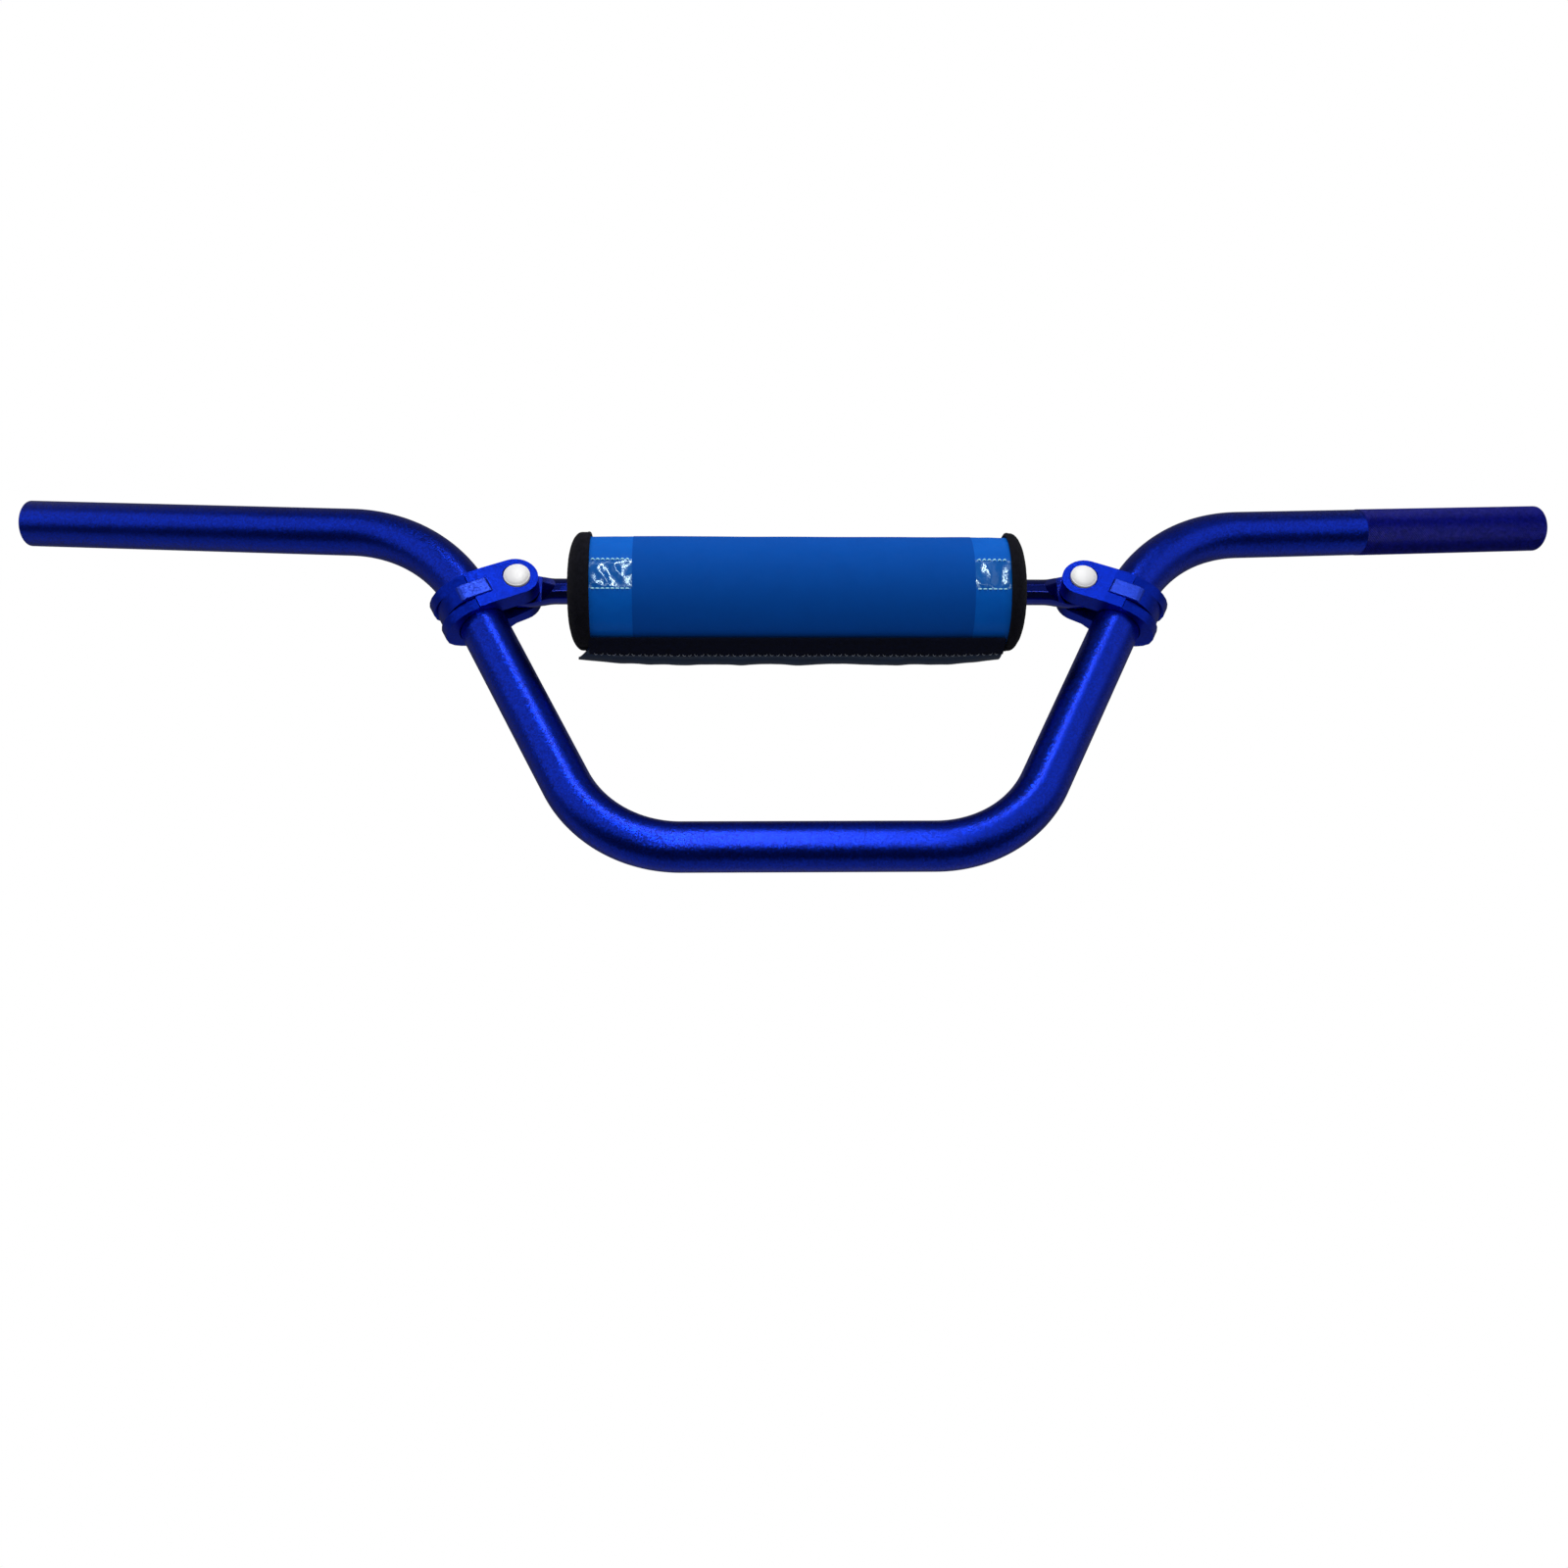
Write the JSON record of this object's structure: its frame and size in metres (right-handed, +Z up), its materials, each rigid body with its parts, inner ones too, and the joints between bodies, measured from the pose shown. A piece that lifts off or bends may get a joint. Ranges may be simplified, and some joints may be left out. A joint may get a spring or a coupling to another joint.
{
  "type": "motocross handlebar",
  "caption": "Bent alloy handlebar with a clamped crossbar under a round blue pad; one grip end is knurled.",
  "frame": {"origin": "middle of the straight base, on the tube's centre line", "axes": "+X to the rider's left along the base, +Y to the rear, the way the grips sweep, +Z up, the way the bar rises"},
  "size_m": [0.7569, 0.0742, 0.2208],
  "materials": {
    "anodised_tube": "bead-blasted blue anodise",
    "anodised_clamp": "satin blue anodise",
    "bright_zinc": "bright zinc plate",
    "foam": "closed-cell foam",
    "blue_vinyl": "glossy blue vinyl",
    "dark_vinyl": "glossy navy vinyl",
    "black_webbing": "black woven tape"
  },
  "bodies": {
    "root": {"handlebar_tube": "anodised_tube", "crossbar": "anodised_tube", "clamp_front_left": "anodised_clamp", "clamp_front_right": "anodised_clamp", "clamp_rear_left": "anodised_clamp", "clamp_rear_right": "anodised_clamp", "clamp_bolt_left": "bright_zinc", "clamp_bolt_right": "bright_zinc", "clamp_washer_left": "bright_zinc", "clamp_washer_right": "bright_zinc", "clamp_nut_left": "bright_zinc", "clamp_nut_right": "bright_zinc", "pad_foam": "foam", "pad_cover": "blue_vinyl", "pad_end_cap_left": "black_webbing", "pad_end_cap_right": "black_webbing", "pad_flap": "dark_vinyl", "pad_binding": "black_webbing", "pad_hook_strip": "black_webbing", "pad_loop_strip": "black_webbing"}
  },
  "joints": []
}
